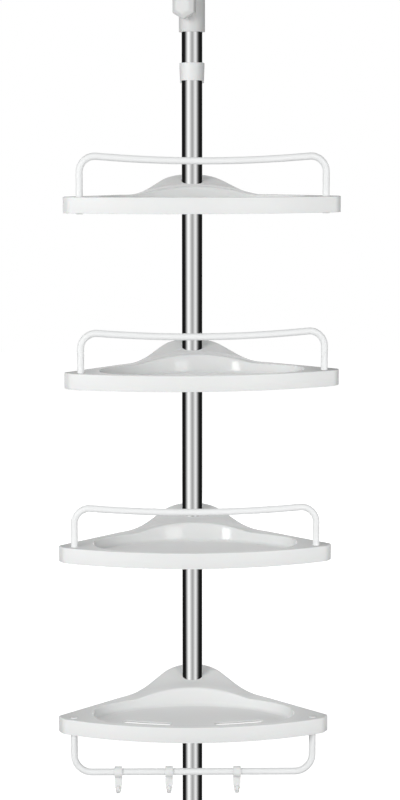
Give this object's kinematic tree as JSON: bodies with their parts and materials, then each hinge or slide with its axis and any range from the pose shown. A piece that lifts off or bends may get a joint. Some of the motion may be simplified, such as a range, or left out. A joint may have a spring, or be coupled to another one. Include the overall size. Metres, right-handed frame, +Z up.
{
  "type": "tension pole shelf unit",
  "caption": "Corner shelf unit on a spring-loaded tension pole: rounded corner trays with guard rails, and a towel bar with swinging hooks under the lowest tray.",
  "frame": {"origin": "centre of the foot pad's underside, on the pole's axis, where it meets the floor", "axes": "+Z up along the pole, -Y out of the room's corner towards the user (front of the trays), +X to the right seen from the front"},
  "size_m": [0.3303, 0.1981, 1.5855],
  "materials": {
    "polished_tube": "polished stainless tube",
    "white_plastic": "glossy white moulded plastic",
    "white_coating": "white coated steel rod",
    "grey_plastic": "matte grey plastic, hidden fittings",
    "pad_rubber": "grey rubber",
    "zinc_steel": "zinc-plated steel",
    "brass": "turned brass"
  },
  "bodies": {
    "outer_pole": {"lower_pole_section": "polished_tube", "middle_pole_section": "polished_tube", "upper_pole_section": "polished_tube", "lower_pole_connector": "grey_plastic", "upper_pole_connector": "grey_plastic", "foot_cap": "white_plastic", "foot_pad": "pad_rubber", "clamp_body": "white_plastic", "clamp_nut": "zinc_steel", "clamp_shoe": "brass"},
    "clamp_screw": {"clamp_knob": "white_plastic", "clamp_stud": "zinc_steel"},
    "telescoping_pole": {"inner_pole": "polished_tube", "inner_pole_guide_bush": "grey_plastic", "spring_seat": "grey_plastic", "tension_spring": "zinc_steel", "plunger_bush": "white_plastic"},
    "plunger": {"plunger_rod": "polished_tube", "ceiling_cap": "white_plastic", "ceiling_pad": "pad_rubber"},
    "stop_sleeve": {"stop_sleeve_front_half": "white_plastic", "stop_sleeve_rear_half": "white_plastic"},
    "first_sleeve": {"first_sleeve_front_half": "white_plastic", "first_sleeve_rear_half": "white_plastic"},
    "first_shelf": {"first_tray": "white_plastic", "first_rail": "white_coating", "first_rail_screws": "zinc_steel", "first_socket_caps": "white_plastic"},
    "second_sleeve": {"second_sleeve_front_half": "white_plastic", "second_sleeve_rear_half": "white_plastic"},
    "second_shelf": {"second_tray": "white_plastic", "second_rail": "white_coating", "second_rail_screws": "zinc_steel", "second_socket_caps": "white_plastic"},
    "third_sleeve": {"third_sleeve_front_half": "white_plastic", "third_sleeve_rear_half": "white_plastic"},
    "third_shelf": {"third_tray": "white_plastic", "third_rail": "white_coating", "third_rail_screws": "zinc_steel", "third_socket_caps": "white_plastic"},
    "fourth_sleeve": {"fourth_sleeve_front_half": "white_plastic", "fourth_sleeve_rear_half": "white_plastic"},
    "fourth_shelf": {"fourth_tray": "white_plastic", "towel_bar": "white_coating", "fourth_rail_screws": "zinc_steel", "fourth_socket_caps": "white_plastic"},
    "left_hook": {"left_hook": "white_plastic"},
    "middle_hook": {"middle_hook": "white_plastic"},
    "right_hook": {"right_hook": "white_plastic"}
  },
  "joints": [
    {"name": "telescope_slide", "type": "slide", "parent": "outer_pole", "child": "telescoping_pole", "axis": [0, 0, 1], "range_m": [-0.1, 0.15]},
    {"name": "plunger_slide", "type": "slide", "parent": "telescoping_pole", "child": "plunger", "axis": [0, 0, 1], "range_m": [-0.04, 0], "stiffness_N_per_m": 2000, "springref_m": 0.01, "deforming": ["tension_spring"]},
    {"name": "clamp_knob_turn", "type": "hinge", "parent": "outer_pole", "child": "clamp_screw", "pos_m": [-0.00878, -0.02287, 1.231], "axis": [-0.3584, -0.9336, 0], "range_deg": [0, 540]},
    {"name": "stop_sleeve_slide", "type": "slide", "parent": "outer_pole", "child": "stop_sleeve", "axis": [0, 0, 1], "range_m": [-0.045, 0.035]},
    {"name": "first_shelf_slide", "type": "slide", "parent": "outer_pole", "child": "first_sleeve", "axis": [0, 0, 1], "range_m": [-0.06, 0.05]},
    {"name": "first_shelf_turn", "type": "hinge", "parent": "first_sleeve", "child": "first_shelf", "pos_m": [0, 0, 1.011], "axis": [0, 0, 1], "continuous": true},
    {"name": "second_shelf_slide", "type": "slide", "parent": "outer_pole", "child": "second_sleeve", "axis": [0, 0, 1], "range_m": [-0.06, 0.06]},
    {"name": "second_shelf_turn", "type": "hinge", "parent": "second_sleeve", "child": "second_shelf", "pos_m": [0, 0, 0.81], "axis": [0, 0, 1], "continuous": true},
    {"name": "third_shelf_slide", "type": "slide", "parent": "outer_pole", "child": "third_sleeve", "axis": [0, 0, 1], "range_m": [-0.06, 0.06]},
    {"name": "third_shelf_turn", "type": "hinge", "parent": "third_sleeve", "child": "third_shelf", "pos_m": [0, 0, 0.604], "axis": [0, 0, 1], "continuous": true},
    {"name": "fourth_shelf_slide", "type": "slide", "parent": "outer_pole", "child": "fourth_sleeve", "axis": [0, 0, 1], "range_m": [-0.2, 0.06]},
    {"name": "fourth_shelf_turn", "type": "hinge", "parent": "fourth_sleeve", "child": "fourth_shelf", "pos_m": [0, 0, 0.396], "axis": [0, 0, 1], "continuous": true},
    {"name": "left_hook_swing", "type": "hinge", "parent": "fourth_shelf", "child": "left_hook", "pos_m": [-0.08775, -0.12621, 0.329], "axis": [0.9999, 0.014, 0], "range_deg": [-80, 80]},
    {"name": "middle_hook_swing", "type": "hinge", "parent": "fourth_shelf", "child": "middle_hook", "pos_m": [-0.02725, -0.12537, 0.329], "axis": [0.9999, 0.014, 0], "range_deg": [-80, 80]},
    {"name": "right_hook_swing", "type": "hinge", "parent": "fourth_shelf", "child": "right_hook", "pos_m": [0.05374, -0.12424, 0.329], "axis": [0.9999, 0.014, 0], "range_deg": [-80, 80]}
  ]
}
